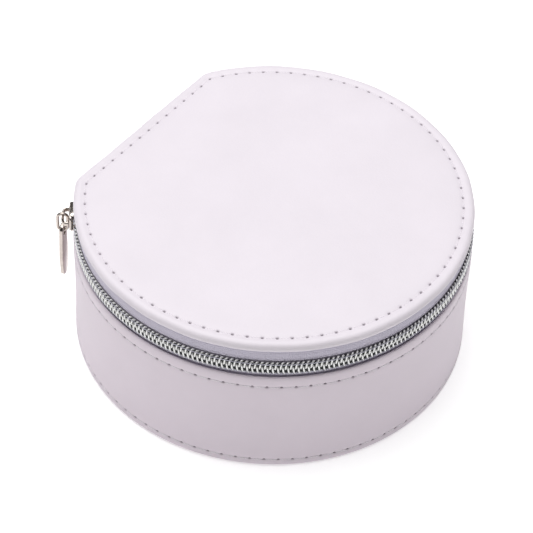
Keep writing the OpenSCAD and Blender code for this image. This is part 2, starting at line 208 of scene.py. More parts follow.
def grid_piece(name, points, wrap_rows=True, wrap_columns=False, uv=None, hole_shade=None):
    """One object from points shaped (rows, columns, 3), or (copies, rows, columns, 3).

    uv holds one value per row and one per column, in metres, one more where they wrap. The last
    argument is a value per point by which the leather finish paints shade into the needle holes."""
    points = np.asarray(points, float)
    if points.ndim == 3:
        points = points[None]
    copies, rows, columns, _ = points.shape
    quads, row, column = grid_faces(rows, columns, wrap_rows, wrap_columns)
    verts = points.reshape(copies, -1, 3)
    faces = [quads]
    if wrap_rows != wrap_columns:
        ends = np.take(points, [0, -1], axis=2 if wrap_rows else 1)
        ends = ends.mean(1) if wrap_rows else ends.mean(2)
        verts = np.concatenate([verts, ends], 1)
        faces.append(fans(rows, columns, wrap_rows))
    stride = verts.shape[1]
    shift = np.arange(copies)[:, None, None] * stride
    corners = np.concatenate([(f + shift).ravel() for f in faces])
    sizes = np.concatenate([np.full(copies * len(f), f.shape[1]) for f in faces])
    mesh = bpy.data.meshes.new(name)
    mesh.vertices.add(copies * stride)
    mesh.vertices.foreach_set("co", verts.astype(np.float32).ravel())
    mesh.loops.add(len(corners))
    mesh.loops.foreach_set("vertex_index", corners.astype(np.int32))
    mesh.polygons.add(len(sizes))
    starts = np.concatenate([[0], np.cumsum(sizes)[:-1]])
    mesh.polygons.foreach_set("loop_start", starts.astype(np.int32))
    if uv is not None:
        flat = np.zeros((len(corners), 2), np.float32)
        along, over = np.asarray(uv[0])[row], np.asarray(uv[1])[column]
        one = np.stack([along, over], -1).reshape(-1, 2)
        flat[: copies * len(one)] = np.tile(one, (copies, 1))
        mesh.uv_layers.new(name="UVMap").uv.foreach_set("vector", flat.ravel())
    mesh.update(calc_edges=True)
    if hole_shade is not None:
        values = np.zeros(copies * stride, np.float32)
        values[: hole_shade.size] = hole_shade.ravel()
        mesh.attributes.new("hole_shade", "FLOAT", "POINT").data.foreach_set("value", values)
    mesh.shade_smooth()
    return add_object(name, mesh)


def tube_points(path, out, side, radius_out, radius_side, sides):
    """Points of a tube: path + out * radius_out * cos t + side * radius_side * sin t.

    The path's direction crossed with side is out, so that faces point outwards."""
    t = 2 * math.pi * np.arange(sides) / sides
    a = np.asarray(radius_out)[..., None, None] * np.cos(t)[:, None]
    b = np.asarray(radius_side)[..., None, None] * np.sin(t)[:, None]
    return path[..., None, :] + out[..., None, :] * a + side[..., None, :] * b


# %% [markdown]
# ## Finishes as formulas
#
# A finish is a Principled shader plus a few patterns. Wiring nodes by hand hides the sum that
# they make, so a small class lets a line of Python such as `1 - mask * 0.3` add the Math
# nodes, and one method makes every other node.

# %% The class that writes shader sums
class Signal:
    """A value on its way through a material. Its operators add Math nodes."""

    def __init__(self, finish, socket):
        self.finish, self.socket = finish, socket

    def _math(self, operation, *inputs):
        settings = {"operation": operation}
        return self.finish.node("ShaderNodeMath", settings, dict(enumerate(inputs)))

    def __add__(self, other):
        return self._math("ADD", self, other)

    def __sub__(self, other):
        return self._math("SUBTRACT", self, other)

    def __rsub__(self, other):
        return self._math("SUBTRACT", other, self)

    def __mul__(self, other):
        return self._math("MULTIPLY", self, other)

    def sine(self):
        return self._math("SINE", self)

    __radd__ = __add__
    __rmul__ = __mul__


class Finish:
    """One material: its Principled shader's fixed values, and patterns that feed it."""

    def __init__(self, name, **fixed):
        self.material = bpy.data.materials.new(name)
        self.material.use_nodes = True
        self.tree = self.material.node_tree
        self.shader = self.tree.nodes["Principled BSDF"]
        for socket, value in fixed.items():
            self.shader.inputs[socket.replace("_", " ")].default_value = value

    def node(self, kind, settings, inputs, output=0):
        """A node of a kind: its settings first, then a number, colour or Signal per socket."""
        made = self.tree.nodes.new(kind)
        for key, value in settings.items():
            if key == "stops":
                for element, (at, colour) in zip(made.color_ramp.elements, value):
                    element.position, element.color = at, (*colour, 1)
            else:
                setattr(made, key, value)
        for key, value in inputs.items():
            if isinstance(value, Signal):
                self.tree.links.new(value.socket, made.inputs[key])
            else:
                made.inputs[key].default_value = value
        return Signal(self, made.outputs[output])

    def place(self):
        """The point on the object, in metres."""
        return self.node("ShaderNodeTexCoord", {}, {}, "Object")

    def noise(self, size, detail=2.0, rough=0.5):
        """Noise whose features are about size metres across."""
        inputs = {"Vector": self.place(), "Scale": 1 / size, "Detail": detail, "Roughness": rough}
        return self.node("ShaderNodeTexNoise", {}, inputs)

    def cells(self, size):
        """Distance to the nearest cell centre, with cells about size metres across."""
        return self.node("ShaderNodeTexVoronoi", {}, {"Vector": self.place(), "Scale": 1 / size})

    def uv(self):
        """The two UV values, in metres along and across a strip."""
        split = self.node("ShaderNodeUVMap", {"uv_map": "UVMap"}, {})
        parts = self.node("ShaderNodeSeparateXYZ", {}, {0: split})
        return parts, Signal(self, parts.socket.node.outputs[1])

    def colour(self, signal, low, high, start=0.0, end=1.0):
        """A blend from one colour to another as the signal goes from start to end."""
        ramp = {"stops": [(start, low), (end, high)]}
        return self.node("ShaderNodeValToRGB", ramp, {0: signal})

    def feed(self, **sockets):
        """Links signals to the shader's own sockets."""
        for name, signal in sockets.items():
            self.tree.links.new(signal.socket, self.shader.inputs[name.replace("_", " ")])

    def bump(self, height, depth, strength=1.0):
        """Raises the surface by height times depth metres, through the Normal socket."""
        inputs = {"Height": height, "Distance": depth, "Strength": strength}
        self.feed(Normal=self.node("ShaderNodeBump", {}, inputs))


def shade(colour, factor):
    """A colour made lighter or darker."""
    return tuple(min(1.0, c * factor) for c in colour)


# %% [markdown]
# ## Leather
#
# The cover is imitation leather: a smooth, slightly waxy coat with a fine pebbled grain, off
# white with a lilac cast. A picture of leather could be wrapped on, but a cell pattern for
# the pebbles and a finer noise between them stays sharp at any distance. Round each needle
# hole the skin is pressed in, and the shade inside each hole is painted into the colour
# through values that the mesh carries per point.

# %% The leather finish
LILAC = (0.775, 0.722, 0.778)
# Painted shade: a darker, more saturated copy of the same lilac for the wall, for the shade the
# box's side stands in.
SIDE_SHADE_LILAC = (0.765, 0.682, 0.752)
# Painted shade: the near-black colour inside the needle holes.
HOLE_SHADE = (0.085, 0.065, 0.085)


def make_leather(name, colour):
    """Pebble grain: cells for the pebbles, fine noise on them, and slow drifts of tone."""
    f = Finish(name, IOR=1.46, Sheen_Weight=0.05, Sheen_Roughness=0.5)
    pebbles = f.cells(0.62 * MM)
    pores = f.noise(0.22 * MM, 3.0)
    drift = f.noise(18 * MM, 3.0, 0.6)
    mottle = drift + (pores - 0.5) * 0.25
    tone = f.colour(mottle, shade(colour, 0.972), shade(colour, 1.02), 0.25, 0.75)
    # Painted shade: the colour goes to near black inside each needle hole, for the shade its depth
    # holds.
    hole_shade = f.node("ShaderNodeAttribute", {"attribute_name": "hole_shade"}, {}, "Fac")
    hole_shaded_tone = f.node("ShaderNodeMix", {"data_type": "RGBA"}, {0: hole_shade, 6: tone, 7: (*HOLE_SHADE, 1)}, 2)
    f.feed(Base_Color=hole_shaded_tone, Roughness=0.44 + drift * 0.12 + pores * 0.06)
    f.bump((1 - pebbles) * 0.75 + pores * 0.35, 0.05 * MM, 0.55)
    return f.material


leather = make_leather("lilac_leather", LILAC)
# The same leather twice: the second copy is darker, as painted shade on the wall.
side_shade_leather = make_leather("lilac_leather_painted_side_shade", SIDE_SHADE_LILAC)
print("leather:", len(leather.node_tree.nodes), "nodes")


# %% [markdown]
# ## Cloth finishes
#
# The zipper tape is a ribbed weave, the thread is a two-ply twist, and the inside is a short
# velvet. The tape and the thread follow their own strips, so their patterns read the UV map.
# Velvet has no direction, so fine noise and a soft sheen are enough.

# %% Tape, thread, velvet
def make_tape():
    """Weave: ribs across the tape times fine picks along it."""
    f = Finish("woven_tape", Sheen_Weight=0.25, Sheen_Roughness=0.4, IOR=1.4)
    along, over = f.uv()
    picks = (along * (2 * math.pi / (0.50 * MM))).sine()
    ribs = (over * (2 * math.pi / (0.62 * MM))).sine()
    weave = picks * 0.35 + ribs * 0.65
    fuzz = f.noise(0.35 * MM, 2.0)
    tone = f.colour(weave * 0.3 + fuzz, (0.57, 0.535, 0.64), (0.70, 0.655, 0.77), 0.1, 0.95)
    f.feed(Base_Color=tone, Roughness=0.62 + fuzz * 0.2)
    f.bump(weave + fuzz * 0.5, 0.055 * MM, 0.8)
    return f.material


def make_thread(name, colour):
    """Two-ply twist: a slanted stripe along each stitch."""
    f = Finish(name, Sheen_Weight=0.2, IOR=1.45)
    along, over = f.uv()
    twist = (along * (2 * math.pi / (0.8 * MM)) + over * 2).sine()
    fuzz = f.noise(0.2 * MM, 2.0)
    tone = f.colour(twist * 0.5 + fuzz, shade(colour, 0.9), shade(colour, 1.05), 0.2, 0.9)
    f.feed(Base_Color=tone, Roughness=0.5 + fuzz * 0.15)
    f.bump(twist, 0.04 * MM, 0.7)
    return f.material


def make_velvet():
    """Short pile: fine tufts, and slow patches where the pile lies another way."""
    f = Finish("lilac_velvet", Sheen_Weight=0.6, Sheen_Roughness=0.35, IOR=1.4)
    pile = f.noise(0.3 * MM, 4.0, 0.7)
    patches = f.noise(9 * MM, 2.0)
    tone = f.colour(pile * 0.6 + patches * 0.4, (0.40, 0.34, 0.43), (0.60, 0.53, 0.63), 0.3, 0.7)
    f.feed(Base_Color=tone, Roughness=0.85 + pile * 0.1)
    f.bump(pile, 0.12 * MM, 0.7)
    return f.material


tape_cloth, velvet = make_tape(), make_velvet()
# Painted light: the thread's own lilac is lifted a little above the leather's, to offset the shade
# along its groove.
thread_twist = make_thread("sewing_thread", shade(LILAC, 1.04))
coil_thread = make_thread("coil_sewing_thread", (0.50, 0.49, 0.58))
print("cloth finishes:", tape_cloth.name, thread_twist.name, velvet.name)


# %% [markdown]
# ## Metal, coil, glass and the hidden boards
#
# The pull is polished nickel, warm and nearly a mirror, so it needs only faint wear in its
# gloss. The coil is nylon with a silver coat, a little duller. Nobody sees the card and foam
# inside the walls unless the box is cut open, but they get their own fibres and pores.

# %% Metal, coil, mirror, board, foam
def make_metal(name, colour, gloss, wear_size, wear_depth, **fixed):
    """Polish with fine wear: noise moves the gloss, the tone and very slightly the surface."""
    f = Finish(name, **fixed)
    wear = f.noise(wear_size, 3.0, 0.6)
    tone = f.colour(wear, shade(colour, 0.9), shade(colour, 1.05), 0.3, 0.7)
    f.feed(Base_Color=tone, Roughness=gloss + wear * 0.12)
    f.bump(wear, wear_depth, 0.5)
    return f.material


nickel = make_metal("warm_nickel", (0.56, 0.50, 0.46), 0.10, 1.2 * MM, 0.01 * MM, Metallic=1.0)
silver_coil = make_metal("silver_coil", (0.84, 0.84, 0.83), 0.22, 0.5 * MM, 0.01 * MM,
                         Metallic=0.45)
mirror_glass = make_metal("mirror_glass", (0.90, 0.92, 0.93), 0.0, 30 * MM, 0.0005 * MM,
                          Metallic=1.0)


def make_rough(name, low, high, size, depth):
    """A dull material of fibres or pores: one noise for tone and surface."""
    f = Finish(name)
    grain = f.noise(size, 4.0, 0.7)
    f.feed(Base_Color=f.colour(grain, low, high, 0.3, 0.7), Roughness=0.8 + grain * 0.15)
    f.bump(grain, depth, 0.8)
    return f.material


pulp_board = make_rough("pulp_board", (0.34, 0.30, 0.24), (0.48, 0.43, 0.36), 0.7 * MM, 0.08 * MM)
soft_foam = make_rough("soft_foam", (0.72, 0.71, 0.66), (0.86, 0.85, 0.80), 0.5 * MM, 0.15 * MM)
BY_SLOT = {
    "leather": leather, "lining": velvet, "board": pulp_board, "foam": soft_foam,
    "tape": tape_cloth, "coil": silver_coil, "nickel": nickel, "mirror": mirror_glass,
    "thread": thread_twist,
}
for subpart in frame["record"]["subparts"]:
    node = frame["nodes"][subpart["node"]]
    node.data.materials.clear()
    node.data.materials.append(BY_SLOT[subpart["material_slot"]])
print("every CAD node has one of", len(BY_SLOT), "finishes")


def fit(piece, body, slot, *nodes, finish=None):
    """Gives a piece its finish and the body it rides on, and hides the CAD nodes it stands for."""
    piece.data.materials.append(finish or BY_SLOT[slot])
    if body:
        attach(piece, body)
    if nodes:
        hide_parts(*nodes)
    return piece


# %% [markdown]
# ## Where the needle goes
#
# A lockstitch machine leaves one hole every 3.9 mm, and the thread lies from hole to hole.
# The leather has to be finely divided near the holes and can be coarse between them, so the
# walk along the outline takes its steps closer together round each hole.

# %% Holes and steps along a sewn row
PITCH = 3.9 * MM
HOLE_STEPS = np.array([0, 0.2, 0.36, 0.5, 0.66, 1.0]) * MM
HOLE_LONG, HOLE_WIDE = 0.40 * MM, 0.21 * MM
PULL_LONG, PULL_WIDE = 1.0 * MM, 0.6 * MM


def sewn_steps(r):
    """Distances along the outline at radius r, bunched at the holes, and the spacing."""
    whole = legs_of(r).sum()
    count = round(whole / PITCH)
    pitch = whole / count
    local = np.concatenate([HOLE_STEPS, [pitch / 2], pitch - HOLE_STEPS[:0:-1]])
    first = legs_of(r)[:2].sum()
    s = (first + pitch * np.arange(count)[:, None] + local).ravel()
    return s % whole, np.tile(local, count), pitch, count


def hole_depth(local, pitch, across):
    """Depth of the pits, 0 to 1: a sharp well at each hole in a shallow pull of the skin."""
    near = np.minimum(local, pitch - local)[:, None]
    well = np.exp(-((near / HOLE_LONG) ** 4) - (across / HOLE_WIDE) ** 2)
    pull = np.exp(-((near / PULL_LONG) ** 2) - (across / PULL_WIDE) ** 2)
    return well, pull


lid_s, lid_local, lid_pitch, lid_count = sewn_steps(ROW_R)
wall_s, wall_local, wall_pitch, wall_count = sewn_steps(WALL_R)
print("lid row:", lid_count, "stitches; wall rows:", wall_count, "stitches each")


# %% [markdown]
# ## The lid's leather
#
# One skin covers the lid: it lies over thin foam, is sewn down all round, swells into a thick
# rolled rim and turns in underneath. A subdivided box with a bevel would only look roughly
# like that. A profile carried round the outline gives the sewn channel, the swell beside it
# and the rim in one surface, and the middle is closed by shrinking the last ring to a point.

# %% Shape of the lid's skin
SKIN_T = 0.7 * MM
RIM_HALF_W = 1.52 * MM
RIM_HALF_H = (TOP - RIM_FOOT) / 2
RIM_MID_R = LID_R - RIM_HALF_W
RIM_MID_Z = RIM_FOOT + RIM_HALF_H
FOLD_IN = ROW_R - 1.1 * MM
CHANNEL_DEPTH, HOLE_SINK, PUCKER_DEPTH, SWAY = 0.10 * MM, 0.50 * MM, 0.045 * MM, 0.05 * MM
LID_MIDDLE = np.array([0, -2 * MM])


def lobe(turn, half_w, half_h, power=2.1):
    """A superellipse about the rim's middle: |x/half_w|^power + |z/half_h|^power = 1."""
    x = half_w * raised(np.cos(turn), 2 / power)
    z = half_h * raised(np.sin(turn), 2 / power)
    return RIM_MID_R + x, RIM_MID_Z + z


def top_height(radius):
    """Height of the top: the padded flat, and the rim's inner slope, joined by a soft maximum."""
    inside = np.maximum(ROW_R - radius, 0)
    flat = SKIN_TOP - 0.05 * MM + 0.30 * MM * (1 - np.exp(-inside / (2.6 * MM)))
    reach = np.clip(np.abs(radius - RIM_MID_R) / (RIM_MID_R - ROW_R + 0.1 * MM), 0, 1)
    rim = RIM_MID_Z + RIM_HALF_H * (1 - reach**2.1) ** (1 / 2.1)
    soft = 0.08 * MM
    return flat + soft * np.logaddexp(0, (rim - flat) / soft)


def lid_skin_points():
    """The skin from the middle of its inner face, out, round the rim and back over the top."""
    skeleton, normal = walk(lid_s, ROW_R)
    skeleton, normal = skeleton[:, None], normal[:, None]
    up = np.linspace(-math.pi / 2, math.pi / 2, 21)
    core_r, core_z = lobe(up[::-1][::2], RIM_HALF_W - SKIN_T, RIM_HALF_H - SKIN_T)
    edge_r, edge_z = lobe(up, RIM_HALF_W, RIM_HALF_H)
    slope_r = np.concatenate([
        np.linspace(RIM_MID_R, ROW_R + 0.6 * MM, 8)[1:-1],
        ROW_R + np.array([
            0.6, 0.42, 0.28, 0.16, 0.05, -0.05, -0.16, -0.28, -0.42, -0.7, -1.1,
        ]) * MM,
    ])
    under = SKIN_TOP - SKIN_T
    inner_r = np.array([FOLD_IN, RIM_MID_R - 0.8 * MM])
    radius = np.concatenate([inner_r, core_r, [FOLD_IN, FOLD_IN], edge_r, slope_r])
    height = np.concatenate([
        np.full(2, under), core_z, [RIM_FOOT + SKIN_T, RIM_FOOT], edge_z, top_height(slope_r),
    ])
    sewn = height > RIM_MID_Z
    sewn &= np.arange(len(radius)) > 2 + len(core_r)
    well, pull = hole_depth(lid_local, lid_pitch, (radius - ROW_R)[None])
    channel = np.exp(-(((radius - ROW_R) / (0.7 * MM)) ** 2))
    pucker = np.cos(2 * math.pi * lid_local / lid_pitch)[:, None]
    swell = np.exp(-(((radius - ROW_R - 1.1 * MM) / (0.8 * MM)) ** 2))
    sink = CHANNEL_DEPTH * (channel + pull) + HOLE_SINK * well + PUCKER_DEPTH * pucker * swell
    sink = sink * sewn
    sway = SWAY * (np.sin(9 * lid_s / ROW_R) + np.sin(23 * lid_s / ROW_R + 1))[:, None]
    rim_part = np.clip((radius - ROW_R) / (2 * MM), 0, 1)
    points = place(skeleton, normal, radius - sway * rim_part, height - sink)
    # The second value marks the needle holes, where the leather finish paints shade.
    return points, well * sewn


def shrink_to_middle(ring, shares, heights):
    """Rings between the middle and an outline: middle + (ring - middle) * share."""
    xy = LID_MIDDLE + (ring[:, None, :2] - LID_MIDDLE) * shares[:, None]
    return np.concatenate([xy, np.broadcast_to(heights, xy.shape[:2])[..., None]], -1)


# %% Make the lid's skin
skirt, lid_hole_shade = lid_skin_points()
distance = np.array([0.7, 1.6, 2.8, 4.4, 6.5, 9.5, 13.5, 19, 26, 34, 43]) * MM
shares = 1 - distance / (FOLD_IN + 2 * MM)
pad_heights = top_height(ROW_R - 1.1 * MM - distance)
top_rings = shrink_to_middle(skirt[:, -1], shares, pad_heights)
under_rings = shrink_to_middle(skirt[:, 0], shares[::-3], np.full(4, SKIN_TOP - SKIN_T))
lid_points = np.concatenate([under_rings, skirt, top_rings], 1)
blank = np.zeros((len(lid_s), 1))
plain_in, plain_out = np.repeat(blank, 4, 1), np.repeat(blank, len(distance), 1)
lid_hole_shade = np.concatenate([plain_in, lid_hole_shade, plain_out], 1)
lid_skin = grid_piece("lid_leather", lid_points, hole_shade=lid_hole_shade)
fit(lid_skin, "lid", "leather", "lid_cover")
print("lid leather:", len(lid_skin.data.polygons), "faces")


# %% [markdown]
# ## The leather round the wall
#
# The wall's cover is one band, joined behind, with its top rolled over the edge of the board.
# It is a closed band with real thickness. The board under it bows in slightly, and the two
# sewn rows draw it in again.

# %% Make the wall's leather
WRAP_T = 1.2 * MM
LIP_W = WRAP_T / 2


def wall_points():
    """The band: up the outside, over the rolled lip, down the inside and back under."""
    near = np.array([-1.0, -0.6, -0.4, -0.26, -0.15, -0.05, 0.05, 0.15, 0.26, 0.4, 0.6, 1.0]) * MM
    rise = np.linspace(0, math.pi, 15)
    lip_tall = 1.5 * MM
    foot = np.array([0, 0.12, 0.35, 0.75, 1.2]) * MM + WALL_FOOT
    middle = np.linspace(LOWER_ROW_Z + 1.8 * MM, UPPER_ROW_Z - 1.8 * MM, 14)
    out_z = np.concatenate([foot, LOWER_ROW_Z + near, middle, UPPER_ROW_Z + near, [LIP - lip_tall]])
    bow = np.sin(math.pi * np.clip((out_z - LOWER_ROW_Z) / (UPPER_ROW_Z - LOWER_ROW_Z), 0, 1))
    toe = np.clip(1 - (out_z - WALL_FOOT) / (1.0 * MM), 0, 1)
    out_r = WALL_R - 0.22 * MM * bow - 0.45 * MM * toe**2
    lip_r = WALL_R - LIP_W + LIP_W * np.cos(rise[1:])
    lip_z = LIP - lip_tall + lip_tall * np.sin(rise[1:]) ** 0.8
    lip_z[-1] = LIP - lip_tall
    in_z = np.linspace(LIP - 3 * MM, WALL_FOOT, 4)
    radius = np.concatenate([out_r, lip_r, np.full(4, WALL_R - WRAP_T)])
    height = np.concatenate([out_z, lip_z, in_z])
    outside = np.arange(len(radius)) < len(out_z)
    skeleton, normal = walk(wall_s, WALL_R)
    dip, pits = 0, 0
    for row_z in (LOWER_ROW_Z, UPPER_ROW_Z):
        well, pull = hole_depth(wall_local, wall_pitch, (height - row_z)[None])
        groove = np.exp(-(((height - row_z) / (0.6 * MM)) ** 2))
        dip = dip + (0.08 * MM * groove + 0.08 * MM * pull + 0.45 * MM * well) * outside
        # The needle holes' values, by which the leather finish paints shade into them.
        pits = pits + well * outside
    points = place(skeleton[:, None], normal[:, None], radius - dip, height + 0 * dip)
    return points, pits


band_points, band_hole_shade = wall_points()
wall_skin = grid_piece("side_shade_leather", band_points, wrap_columns=True, hole_shade=band_hole_shade)
# Painted shade: the wall wears the darker copy of the leather.
fit(wall_skin, "base", "leather", "side_wrap", finish=side_shade_leather)
print("wall leather:", len(wall_skin.data.polygons), "faces")


# %% [markdown]
# ## Stitches
#
# Each stitch is a short length of thread that lies along the leather and dives into a hole at
# both ends. A row has over eighty of them, so each has only a few dozen faces. One array
# holds all the stitches of a row.

# %% Make the three rows of stitches
def stitch_row(name, r, pitch, count, base_r, base_z, up_is_out):
    """Stitches along the outline at radius r, base + height of the arch out of the leather."""
    t = np.linspace(-1, 1, 9)
    reach = 0.5 * (pitch - 0.62 * MM)
    first = legs_of(r)[:2].sum()
    middle = first + pitch * (np.arange(count) + 0.5)
    s = (middle[:, None] + reach * t) % legs_of(r).sum()
    lift = -0.02 * MM - 0.30 * MM * np.abs(t) ** 9 + 0 * s
    skeleton, normal = walk(s, r)
    tangent = np.stack([-normal[..., 1], normal[..., 0], 0 * s], -1)
    out3 = np.concatenate([normal, 0 * s[..., None]], -1)
    z3 = np.zeros_like(out3) + [0, 0, 1]
    if up_is_out:
        path = place(skeleton, normal, base_r + lift, base_z + 0 * lift)
        out, side = out3, z3
    else:
        path = place(skeleton, normal, base_r + 0 * lift, base_z + lift)
        out, side = z3, -out3
    assert np.allclose(np.cross(tangent, side), out)
    slim = 1 - 0.45 * np.abs(t) ** 5 + 0 * s
    points = tube_points(path, out, side, 0.14 * MM * slim, 0.25 * MM * slim, 7)
    around = np.linspace(0, 2 * math.pi, 8)
    return grid_piece(name, points, False, True, uv=(reach * (t + 1), around))


row_z = SKIN_TOP - 0.21 * MM
lid_row = stitch_row("lid_stitches", ROW_R, lid_pitch, lid_count, ROW_R, row_z, False)
fit(lid_row, "lid", "thread", "lid_stitching")
for name, z, node in (
    ("wall_upper_stitches", UPPER_ROW_Z, "body_upper_stitching"),
    ("wall_lower_stitches", LOWER_ROW_Z, "body_lower_stitching"),
):
    row = stitch_row(name, WALL_R, wall_pitch, wall_count, WALL_R - 0.10 * MM, z, True)
    fit(row, "base", "thread", node)
print("stitches:", lid_count + 2 * wall_count)


# %% [markdown]
# ## The zipper tapes
#
# The tape is a narrow woven ribbon. Its upper half hangs from the lid, its lower half stands
# in the wall, and each has a thick woven edge cord just beside the coil, which stands a little
# proud. A flat band would lose that edge and the soft bulge of the cloth between the lid and
# the chain, so the tape is a profile carried along the arc.

# %% Make the tapes
CHAIN_ENDS = 0.017
ARC_STEPS = 640


def arc_walk(steps, inset):
    """Skeleton points, normals and distances along the arc, inset radians from its ends."""
    turn = np.linspace(ARC_START + inset, ARC_START + ARC_TURN - inset, steps)
    normal = heading(turn)
    return HUB_R * normal, normal, turn * TAPE_R


def tape_piece(name, z_edge, z_far, bulge, hidden_z):
    """A ribbon from z_far to hidden_z behind the coil: a cord at z_edge, a bulge beyond it."""
    share = np.linspace(0, 1, 26)
    z = z_far + (hidden_z - z_far) * share
    cord = 0.30 * MM * np.exp(-(((z - z_edge) / (0.26 * MM)) ** 2))
    middle = (z_far + z_edge) / 2
    half = abs(z_edge - z_far) / 2
    swell = bulge * np.clip(1 - ((z - middle) / half) ** 2, 0, 1)
    front = TAPE_R - 0.02 * MM + cord + swell
    order = slice(None) if hidden_z > z_far else slice(None, None, -1)
    radius = np.concatenate([front[order], np.full(2, TAPE_R - TAPE_T)])
    height = np.concatenate([z[order], z[order][[-1, 0]]])
    skeleton, normal, s = arc_walk(ARC_STEPS, 0.004)
    ripple = 0.03 * MM * np.sin(s / (7 * MM)) * np.sin(s / (3.1 * MM))
    radius = radius[None] + ripple[:, None] * (np.abs(height - middle) < half)
    points = place(skeleton[:, None], normal[:, None], radius, height)
    length = np.concatenate([[0], np.cumsum(np.hypot(np.diff(radius[0]), np.diff(height)))])
    return grid_piece(name, points, False, True, uv=(s, np.append(length, length[-1] + TAPE_T)))


edge, hidden = 0.45 * MM, 0.75 * MM
tape_top = RIM_FOOT + 0.3 * MM
upper_tape = tape_piece("upper_tape", CHAIN_HIGH + edge, tape_top, 0.22 * MM, CHAIN_Z + hidden)
fit(upper_tape, "lid", "tape", "upper_zip_tape")
lower_tape = tape_piece("lower_tape", CHAIN_LOW - edge, TAPE_FOOT, 0.0, CHAIN_Z - hidden)
fit(lower_tape, "base", "tape", "lower_zip_tape")
print("tapes:", len(upper_tape.data.polygons), "and", len(lower_tape.data.polygons), "faces")


# %% [markdown]
# ## The coil
#
# Each half of the chain is one nylon wire wound into a flattened spiral with a turn every
# 1.33 mm. The heads of the two spirals lock between each other in the middle. A bump texture
# would turn to mush at the edge of the box, so the wire is real: one long tube per half, whose
# path is the flattened spiral bent along the arc.

# %% Make the two halves of the coil
COIL_PITCH = 1.33 * MM
WIRE_R = 0.29 * MM
TURN_STEPS = 14
HEEL = (CHAIN_HIGH - CHAIN_LOW) / 2 - WIRE_R
HEAD = -0.30 * MM
COIL_LOW, COIL_OUT = 0.30 * MM, 0.86 * MM


def coil_piece(name, side, phase):
    """The spiral: across = middle - half * c, out = middle + half * s.

    c and s are a squarer cosine and sine of the turn t, which is 0 at the head, and along =
    pitch * (t - 0.8 sin t) / 2 pi."""
    turns = int(TAPE_R * (ARC_TURN - 2 * CHAIN_ENDS) / COIL_PITCH) - 1
    t = 2 * math.pi * np.arange(turns * TURN_STEPS + 1) / TURN_STEPS
    c, s = raised(np.cos(t), 0.75), raised(np.sin(t), 0.65)
    along = COIL_PITCH * ((t - 0.8 * np.sin(t)) / (2 * math.pi) + phase)
    across = (HEEL + HEAD) / 2 - c * (HEEL - HEAD) / 2
    out = (COIL_LOW + COIL_OUT) / 2 + s * (COIL_OUT - COIL_LOW) / 2
    turn = ARC_START + CHAIN_ENDS + along / TAPE_R
    radial = heading(turn, 0 * turn)
    path = radial * (TAPE_R + out)[:, None] + np.stack([0 * t, 0 * t, CHAIN_Z + side * across], -1)
    step = unit(np.gradient(path, axis=0))
    heart = radial * (TAPE_R + (COIL_LOW + COIL_OUT) / 2)[..., None]
    heart[:, 2] = CHAIN_Z + side * (HEEL + HEAD) / 2
    away = path - heart
    away = unit(away - step * (away * step).sum(1, keepdims=True))
    width = WIRE_R * (1 + 0.12 * np.clip(np.cos(t), 0, 1) ** 4)
    points = tube_points(path, away, np.cross(away, step), np.full(len(t), WIRE_R), width, 6)
    piece = grid_piece(name, points, False, True)
    return piece, turns


upper_coil, coil_turns = coil_piece("upper_coil", 1, 0.5)
fit(upper_coil, "lid", "coil", "upper_zip_coil")
lower_coil, coil_turns = coil_piece("lower_coil", -1, 0.0)
fit(lower_coil, "base", "coil", "lower_zip_coil")
print("coil:", coil_turns, "turns a side,", len(upper_coil.data.polygons), "faces a side")


# %% [markdown]
# ## Sewing over the coil
#
# A line of thread holds each spiral down on its tape. It climbs over every leg of the coil
# and dips between them, which gives the chain its pale edges. It is a thin tube whose height
# follows the legs. A flat cord lies inside each spiral, and its near-black colour is painted
# shade for the dark gaps between the legs.

# %% Make the sewing lines
def coil_sewing(name, side):
    """A thread near each heel: height over the tape = middle + hop * cos(2 pi along / pitch)."""
    length = TAPE_R * (ARC_TURN - 2 * CHAIN_ENDS)
    steps = int(length / COIL_PITCH) * 6
    along = np.linspace(0, length, steps)
    turn = ARC_START + CHAIN_ENDS + along / TAPE_R
    radial = heading(turn, 0 * turn)
    hop = 0.10 * MM * np.cos(2 * math.pi * along / COIL_PITCH)
    path = radial * (TAPE_R + COIL_OUT + 0.16 * MM + hop)[:, None]
    path[:, 2] = CHAIN_Z + side * (HEEL - 0.30 * MM)
    up = np.zeros_like(radial) + [0, 0, 1]
    thick, wide = np.full(steps, 0.11 * MM), np.full(steps, 0.15 * MM)
    points = tube_points(path, radial, up, thick, wide, 5)
    return grid_piece(name, points, False, True, uv=(along, np.linspace(0, 2 * math.pi, 6)))


def filler_shade_strip(name, side):
    """A filler cord inside a spiral: a flat tube along the arc at the spiral's heart, near black as
    painted shade between the legs.
    """
    turn = np.linspace(ARC_START + CHAIN_ENDS, ARC_START + ARC_TURN - CHAIN_ENDS, ARC_STEPS)
    radial = heading(turn, 0 * turn)
    path = radial * (TAPE_R + (COIL_LOW + COIL_OUT) / 2)
    path[:, 2] = CHAIN_Z + side * (HEEL + HEAD) / 2
    up = np.zeros_like(radial) + [0, 0, 1]
    thick = np.full(ARC_STEPS, 0.13 * MM)
    wide = np.full(ARC_STEPS, (HEEL - HEAD) / 2 - 0.02 * MM)
    return grid_piece(name, tube_points(path, radial, up, thick, wide, 10), False, True)


# Painted shade: near black, for the shade in the gaps between the coil's legs.
filler_painted_shade = make_rough("filler_painted_shade", (0.018, 0.02, 0.02), (0.05, 0.055, 0.055), 0.3 * MM, 0.03 * MM)
fit(filler_shade_strip("upper_filler_shade_strip", 1), "lid", "coil", finish=filler_painted_shade)
fit(filler_shade_strip("lower_filler_shade_strip", -1), "base", "coil", finish=filler_painted_shade)
fit(coil_sewing("upper_coil_sewing", 1), "lid", "coil", finish=coil_thread)
fit(coil_sewing("lower_coil_sewing", -1), "base", "coil", finish=coil_thread)
print("sewing lines: 2, filler cords: 2")


